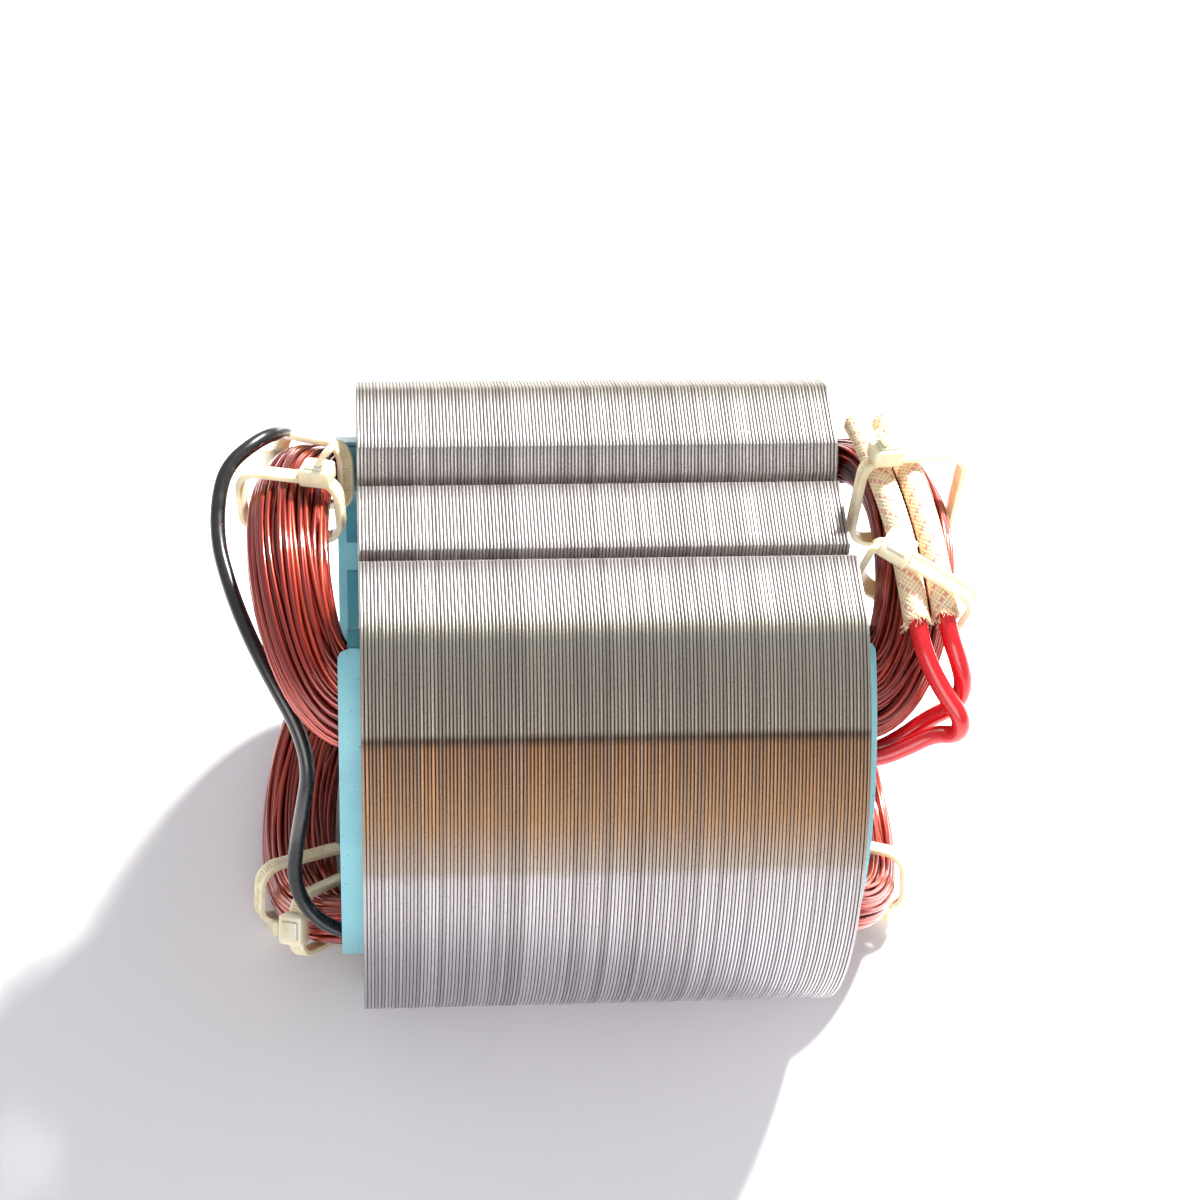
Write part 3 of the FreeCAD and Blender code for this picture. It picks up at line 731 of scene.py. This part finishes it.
# A rounded rectangle as (a, b), counter-clockwise, with the corner and straight points evenly spread.
def roundedLoop(lowA, highA, lowB, highB, radius, perCorner=14):
    t = np.linspace(0, math.pi / 2, perCorner)
    corners = ((highA - radius, lowB + radius, -math.pi / 2), (highA - radius, highB - radius, 0),
               (lowA + radius, highB - radius, math.pi / 2), (lowA + radius, lowB + radius, math.pi))
    points = [np.stack([a + radius * np.cos(t + start), b + radius * np.sin(t + start)], -1)
              for a, b, start in corners]
    loop = np.concatenate(points)
    closed = np.concatenate([loop, loop[:1]])
    along = np.concatenate([[0], np.cumsum(np.linalg.norm(np.diff(closed, axis=0), axis=1))])
    at = np.linspace(0, along[-1], tie["stations"], endpoint=False)
    return np.stack([np.interp(at, along, closed[:, k]) for k in (0, 1)], -1), at


# The strap's section at each station as (outward, sideways): rounded rails with a ribbed track between them.
def strapSection(ribs):
    w, t = tie["width"] / 2, tie["thickness"] / 2
    low = t - tie["trackDepth"]
    side = np.array([
        -w * 0.8, -w * 0.55, -w * 0.5, 0, w * 0.5, w * 0.55, w * 0.8, w, w, w * 0.8, 0, -w * 0.8, -w, -w])
    outward = np.array([t, t, low, low, low, t, t, t * 0.7, -t * 0.7, -t, -t, -t, -t * 0.7, t * 0.7])
    track = (outward == low).astype(float)
    return outward + track * ribs[:, None] * tie["ribHeight"], np.broadcast_to(side, (len(ribs), len(side)))


# The strap's end: it leaves the head, leans over and comes to a rounded tip.
def strapTail(length, tilt, headTop):
    stations, sides = tie["tailStations"], tie["tailSides"]
    s = np.linspace(0, 1, stations)
    lean = np.radians(tilt) * (0.4 + 0.9 * s)
    step = length / (stations - 1)
    a = -np.concatenate([[0], np.cumsum(np.sin(lean[1:]) * step)])
    b = headTop + np.concatenate([[0], np.cumsum(np.cos(lean[1:]) * step)])
    width = tie["tailWidth"] / 2 * np.sqrt(np.clip(1 - ((s - 0.8) / 0.2).clip(0) ** 2 * 0.75, 0, 1))
    thick = tie["thickness"] / 2 * 0.9
    r = np.linspace(0, 2 * math.pi, sides, endpoint=False)
    c, k = np.cos(r), np.sin(r)
    side = np.sign(c) * np.abs(c) ** 0.4
    flat = np.sign(k) * np.abs(k) ** 0.5
    normalA, normalB = np.cos(lean), np.sin(lean)
    ribs = tie["tailRib"] * (np.sin(2 * math.pi * s * length / tie["ribPitch"]) > 0)
    offset = flat[None] * (thick - ribs[:, None] * (flat > 0.5))
    points = np.stack([a[:, None] + normalA[:, None] * offset, b[:, None] + normalB[:, None] * offset,
                       width[:, None] * side[None]], -1)
    points = np.concatenate([points, np.repeat(points[-1].mean(0)[None, None], sides, 1)])
    return points.reshape(-1, 3), gridFaces(stations + 1, sides, False, True)


# A strap swept round the bundle and a head with a lid on it, laid into the bundle's section.
def buildTie(name, turn, end, side, pole, seat, tail=0.0, over=0.0, inside=0.0):
    lowA, highA, lowB, highB = tieExtent(turn, end, side, pole)
    gap, t = tie["gap"], tie["thickness"]
    lowA, highA, lowB, highB = lowA - inside - gap, highA + gap, lowB - gap, highB + over + gap
    loop, at = roundedLoop(lowA - t / 2, highA + t / 2, lowB - t / 2, highB + t / 2, tie["corner"] + t / 2)
    normal = outwardNormals(loop)
    ribs = np.clip(np.sin(2 * math.pi * at / tie["ribPitch"]) * 2, -1, 1)
    outward, sideways = strapSection(ribs)
    plane = loop[:, None] + normal[:, None] * outward[..., None]
    band = np.concatenate([plane, sideways[..., None]], -1)
    parts = [(band, gridFaces(*band.shape[:2], True, True), {})]
    half = (tie["headLength"] / 2, tie["headHeight"] / 2, tie["headWidth"] / 2)
    seats = {
        "top": (lowA + half[0] + 0.2, highB + t / 2, 90), "outer": (highA + t / 2, (lowB + highB) / 2, 0),
        "under": (highA - half[0] - 1.2, highB + t / 2, 90)}
    atA, atB, facing = seats[seat]
    lift = half[1] - t / 2
    box, boxQuads = roundedBox(half, tie["headRound"])
    lid, lidQuads = roundedBox((half[0] * 0.62, tie["lidHeight"], half[2] * 0.7), tie["lidRound"])
    pieces = [(box + (0, lift, 0), boxQuads), (lid + (0, lift + half[1], 0), lidQuads)]
    if tail:
        pieces.append(strapTail(tail, tie["tailTilt"], lift + half[1] - t))
    turned = math.radians(facing - 90)
    c, s = math.cos(turned), math.sin(turned)
    for points, quads in pieces:
        x, y, z = points.T
        parts.append((np.stack([atA + c * x - s * y, atB + s * x + c * y, z], -1), quads, {}))
    points, quads, _ = gather(parts)
    centre, *axes = tieFrame(turn, end, side, pole)
    makePiece(name, centre + points @ np.array(axes), quads, materials["nylon"], [name], sharpAngle=45)


buildTie("upper_left_crown_tie", 75, -1, 1, 1, "top", tail=5.0)
buildTie("upper_left_far_tie", 38, -1, 1, 1, "outer")
buildTie("lower_left_crown_tie", 66, -1, -1, -1, "under")
buildTie("lower_left_near_tie", 33, -1, -1, -1, "outer")
buildTie("upper_right_crown_tie", 82, 1, 1, 1, "top", 4.0, tie["sleevesOver"], tie["sleevesInside"])
buildTie("upper_right_near_tie", 62, 1, -1, 1, "top", over=tie["sleevesOver"])
buildTie("lower_right_crown_tie", 66, 1, -1, -1, "under")
buildTie("lower_right_far_tie", 38, 1, 1, -1, "outer")


# Two points on the line of a sleeve's end, one inside the sleeve and one past its mouth.
def throughEnd(route, atStart, inside, outside):
    last, before = (route[0], route[1]) if atStart else (route[-1], route[-2])
    out = unit(last - before)
    return np.array([last - out * inside, last + out * outside])


# A braid: strands run both ways round at a slope, each crossing over and under the others by turns.
# Strand a counts the angle plus the length over the pitch, strand b the angle less it. A strand's height is a
# cosine across it, raised where it crosses over and lowered where it goes under, and the higher one shows.
def sleeveTube(line, twist):
    tangent, n, b = carriedFrame(line)
    columns = sleeve["columns"]
    u = np.arange(columns) / columns
    v = np.linspace(0, 1, len(line)) * np.linalg.norm(np.diff(line, axis=0), axis=1).sum() / sleeve["pitch"]
    count = sleeve["carriers"]
    first, second = count * (u[None] + v[:, None]), count * (u[None] - v[:, None])
    over = np.where((np.floor(first) + np.floor(second)) % 2 == 0, 1.0, -1.0)
    f, g = (first % 1) - 0.5, (second % 1) - 0.5
    lift, power = sleeve["overHeight"], sleeve["strandPower"]
    one = np.cos(math.pi * f) ** power * (1 - lift + lift * over * np.cos(math.pi * g))
    two = np.cos(math.pi * g) ** power * (1 - lift - lift * over * np.cos(math.pi * f))
    height = np.maximum(one, two)
    index, mine, other = (first, one, two) if twist > 0 else (second, two, one)
    tracer = ((np.floor(index) % sleeve["tracerEvery"] == 0) & (mine > other)).astype(float)
    edge = np.minimum(np.arange(len(line)), np.arange(len(line))[::-1]) / sleeve["mouthRows"]
    mouth = np.clip(1 - edge, 0, 1)[:, None] * np.ones(columns)
    radius = sleeve["diameter"] / 2 - sleeve["weaveHeight"] * (1 - height)
    radius = radius * (1 + sleeve["mouthFlare"] * mouth)
    a = u * 2 * math.pi
    around = np.cos(a)[None, :, None] * n[:, None] + np.sin(a)[None, :, None] * b[:, None]
    ragged = sleeve["raggedLength"] * (np.sin(9 * a) + np.sin(23 * a + 1) + np.sin(41 * a + 2))
    atEnd = np.zeros(len(line))
    frayed = sleeve["raggedRows"]
    atEnd[:frayed] = -np.linspace(1, 0, frayed)
    atEnd[-frayed:] = np.linspace(0, 1, frayed)
    past = (atEnd[:, None] * ragged * 0.5)[..., None] * tangent[:, None]
    points = line[:, None] + radius[..., None] * around + past
    values = {"weave": height, "tracer": tracer, "mouth": mouth}
    parts = [(points, gridFaces(len(line), columns, False, True), values)]
    depth = sleeve["liningRows"]
    for rows in (slice(0, depth), slice(len(line) - depth, len(line))):
        inner = line[rows, None] + sleeve["bore"] / 2 * around[rows]
        if rows.start == 0:
            inner[0] = points[0]
        else:
            inner[-1] = points[-1]
        size = inner.shape[0] * columns
        parts.append((inner, gridFaces(depth, columns, False, True)[:, ::-1],
                      {"weave": np.full(size, 0.3), "tracer": np.zeros(size), "mouth": np.ones(size)}))
    return gather(parts)


# Loose fibres at both cut ends: short thin tubes that start at the mouth and curl outwards.
def fringe(line, count):
    tangent, n, b = carriedFrame(line)
    strands = []
    for k, sign in ((0, -1), (-1, 1)):
        a = rng.uniform(0, 2 * math.pi, (count, 1, 1))
        around = np.cos(a) * n[k] + np.sin(a) * b[k]
        s = np.linspace(0, 1, 6)[None, :, None]
        length = rng.uniform(0.3, 1.3, (count, 1, 1))
        radius = rng.uniform(sleeve["bore"] / 2, sleeve["diameter"] / 2, (count, 1, 1))
        curl = rng.normal(0, 0.5, (count, 1, 3))
        outward = around * (radius + 0.35 * s ** 2 * length)
        forward = sign * tangent[k] * (length * s - 0.3)
        strands.append(line[k] + outward + forward + curl * s ** 2 * length * 0.6)
    centres = np.concatenate(strands)
    points, quads = tubes(centres, np.array([0.3, 0.2, 0.93]), sleeve["fibreRadius"], 3, False)
    size = len(points)
    return points, quads, {"weave": np.full(size, 0.9), "tracer": np.zeros(size), "mouth": np.full(size, 0.3)}


def buildSleeve(name, route, twist):
    line = smoothLine(route, sleeve["spacing"])
    points, quads, values = gather([sleeveTube(line, twist), fringe(line, sleeve["fibres"])])
    makePiece(name, points, quads, materials["sleeve"], [name], values, sharpAngle=80)


def leadTube(line, radius, sides):
    _, n, b = carriedFrame(line)
    a = np.arange(sides) / sides * 2 * math.pi
    scale = np.full(len(line), radius)
    scale[[0, -1]] *= lead["endShare"]
    points = line[:, None] + scale[:, None, None] * (
        np.cos(a)[None, :, None] * n[:, None] + np.sin(a)[None, :, None] * b[:, None])
    ends = np.stack([line[0], line[-1]])
    points = np.concatenate([points.reshape(-1, 3), ends])
    quads = gridFaces(len(line), sides, False, True)
    rim = np.arange(sides)
    last = (len(line) - 1) * sides
    first = np.stack([rim, np.roll(rim, -1), np.full(sides, len(points) - 2)], -1)
    final = np.stack([np.roll(rim, -1) + last, rim + last, np.full(sides, len(points) - 1)], -1)
    return points, quads, np.concatenate([first, final])


def buildLead(name, route, diameter, material, values=None):
    line = smoothLine(route, lead["spacing"])
    points, quads, caps = leadTube(line, diameter / 2, lead["sides"])
    made = {key: np.full(len(points), value) for key, value in (values or {}).items()}
    makePiece(name, points, quads, material, [name], made, triangles=caps, sharpAngle=60)


leftSleeveRoute = np.array([
    (39.0, 17.6, 38.7), (39.6, 8.0, 41.9), (41.0, -3.0, 42.2), (42.0, -11.5, 40.7), (42.7, -20.6, 37.1)])
rightSleeveRoute = np.array([
    (43.1, 17.2, 39.0), (44.0, 8.0, 41.9), (45.3, -3.0, 42.2), (46.2, -11.5, 40.6), (46.9, -19.8, 37.3)])
redLeadOneRoute = np.concatenate([throughEnd(leftSleeveRoute, False, lead["inSleeve"], lead["pastSleeve"]), [
    (44.3, -25.9, 33.6), (46.3, -28.7, 31.0), (48.8, -31.4, 28.6), (48.6, -31.2, 25.0),
    (45.6, -29.7, 23.6), (42.2, -30.2, 21.6), (38.4, -30.9, 20.0), (33.0, -31.0, 19.6), (26.0, -30.9, 19.7)]])
redLeadTwoRoute = np.concatenate([throughEnd(rightSleeveRoute, False, lead["inSleeve"], lead["pastSleeve"]), [
    (48.6, -24.9, 33.4), (49.6, -26.3, 29.9), (48.6, -26.9, 26.2), (45.4, -26.2, 22.8),
    (42.0, -27.2, 20.1), (38.2, -28.2, 18.2), (33.0, -28.3, 18.0), (27.0, -28.2, 18.1)]])
blackLeadRoute = np.array([
    (-45.6, 23.9, 32.4), (-46.4, 19.8, 36.3), (-49.6, 15.6, 38.4), (-53.9, 11.4, 37.4), (-55.1, 6.0, 34.9),
    (-54.9, 0.2, 32.9), (-53.6, -5.2, 31.6), (-51.9, -10.2, 29.8), (-49.6, -15.0, 27.2),
    (-46.8, -19.3, 23.8), (-43.8, -23.2, 19.8), (-42.3, -26.8, 15.0), (-43.4, -29.3, 9.0),
    (-44.4, -30.4, 2.4), (-45.0, -30.6, -4.4), (-43.9, -31.3, -10.4), (-40.7, -32.2, -14.6),
    (-36.4, -32.6, -16.6), (-30.4, -32.6, -16.9)])
leftCoilEndRoute = np.concatenate([
    throughEnd(leftSleeveRoute, True, lead["coilEndInSleeve"], lead["coilEndPastSleeve"]), [
    (39.2, 22.9, 35.9), (40.3, 25.1, 32.9), (41.5, 26.0, 29.8)]])
rightCoilEndRoute = np.concatenate([
    throughEnd(rightSleeveRoute, True, lead["coilEndInSleeve"], lead["coilEndPastSleeve"]), [
    (43.2, 22.4, 36.3), (43.6, 24.8, 33.2), (44.0, 25.8, 30.0)]])

buildSleeve("left_braided_sleeve", leftSleeveRoute, 1)
buildSleeve("right_braided_sleeve", rightSleeveRoute, -1)
buildLead("red_lead_one", redLeadOneRoute, lead["red"], materials["red"])
buildLead("red_lead_two", redLeadTwoRoute, lead["red"], materials["red"])
buildLead("black_lead", blackLeadRoute, lead["black"], materials["black"])
coilEnds = {"left_coil_end": leftCoilEndRoute, "right_coil_end": rightCoilEndRoute}
for (name, route), tone in zip(coilEnds.items(), coil["endTones"]):
    buildLead(name, route, lead["coilEnd"], materials["wire"], {"tone": tone})


# A pale sheet under the part, large enough to fill the view.
def buildFloor():
    material = bpy.data.materials.new("floor")
    material.use_nodes = True
    shader = material.node_tree.nodes["Principled BSDF"]
    shader.inputs["Base Color"].default_value = ground["colour"]
    shader.inputs["Roughness"].default_value = ground["roughness"]
    shader.inputs["Specular IOR Level"].default_value = ground["specular"]
    mesh = bpy.data.meshes.new("floor")
    half = ground["half"]
    z = floorHeight * metre
    corners = [(-half, -half, z), (half, -half, z), (half, half, z), (-half, half, z)]
    mesh.from_pydata(corners, [], [(0, 1, 2, 3)])
    floor = bpy.data.objects.new("floor", mesh)
    mesh.materials.append(material)
    bpy.context.scene.collection.objects.link(floor)


def areaLight(name, place, size, power, colour):
    data = bpy.data.lights.new(name, "AREA")
    data.shape = "RECTANGLE"
    data.size = data.size_y = size
    data.energy = power
    data.color = colour
    light = bpy.data.objects.new(name, data)
    light.location = place
    light.rotation_mode = "QUATERNION"
    light.rotation_quaternion = (-Vector(place)).to_track_quat("-Z", "Y")
    bpy.context.scene.collection.objects.link(light)


# White surroundings, one fairly hard light from behind on the right and a weak wide one from the front.
def buildLight():
    studio = bpy.data.worlds.new("studio")
    bpy.context.scene.world = studio
    studio.use_nodes = True
    tree = studio.node_tree
    tree.nodes.clear()
    path = tree.nodes.new("ShaderNodeLightPath")
    seen = tree.nodes.new("ShaderNodeBackground")
    lit = tree.nodes.new("ShaderNodeBackground")
    mix = tree.nodes.new("ShaderNodeMixShader")
    output = tree.nodes.new("ShaderNodeOutputWorld")
    seen.inputs["Color"].default_value = world["seen"]
    seen.inputs["Strength"].default_value = 1.0
    lit.inputs["Color"].default_value = world["lit"]
    lit.inputs["Strength"].default_value = world["litStrength"]
    tree.links.new(path.outputs["Is Camera Ray"], mix.inputs[0])
    tree.links.new(lit.outputs[0], mix.inputs[1])
    tree.links.new(seen.outputs[0], mix.inputs[2])
    tree.links.new(mix.outputs[0], output.inputs["Surface"])
    areaLight("key", (0.35, 0.42, 0.62), 0.09, 22.0, (1.0, 0.98, 0.95))
    areaLight("front", (-0.1, -0.7, 0.35), 0.5, 3.0, (1.0, 1.0, 1.0))


# The camera looks down at the near side, rolled a few degrees. It is placed by its eye, target and roll.
def buildCamera():
    eye = Vector(view["eye"]) * metre
    target = Vector(view["target"]) * metre
    roll = math.radians(view["roll"])
    forward = (target - eye).normalized()
    level = forward.cross(Vector((0, 0, 1))).normalized()
    up = level.cross(forward)
    right = level * math.cos(roll) + up * math.sin(roll)
    up = right.cross(forward)
    data = bpy.data.cameras.new("camera")
    data.lens = view["lens"]
    data.sensor_width = view["sensorWidth"]
    data.clip_start, data.clip_end = view["clip"]
    camera = bpy.data.objects.new("camera", data)
    turn = Matrix((right, up, -forward)).transposed().to_4x4()
    camera.matrix_world = Matrix.Translation(eye) @ turn
    bpy.context.scene.collection.objects.link(camera)
    bpy.context.scene.camera = camera


buildFloor()
buildLight()
buildCamera()
scene = bpy.context.scene
scene.view_settings.view_transform = "Standard"
scene.render.film_transparent = False
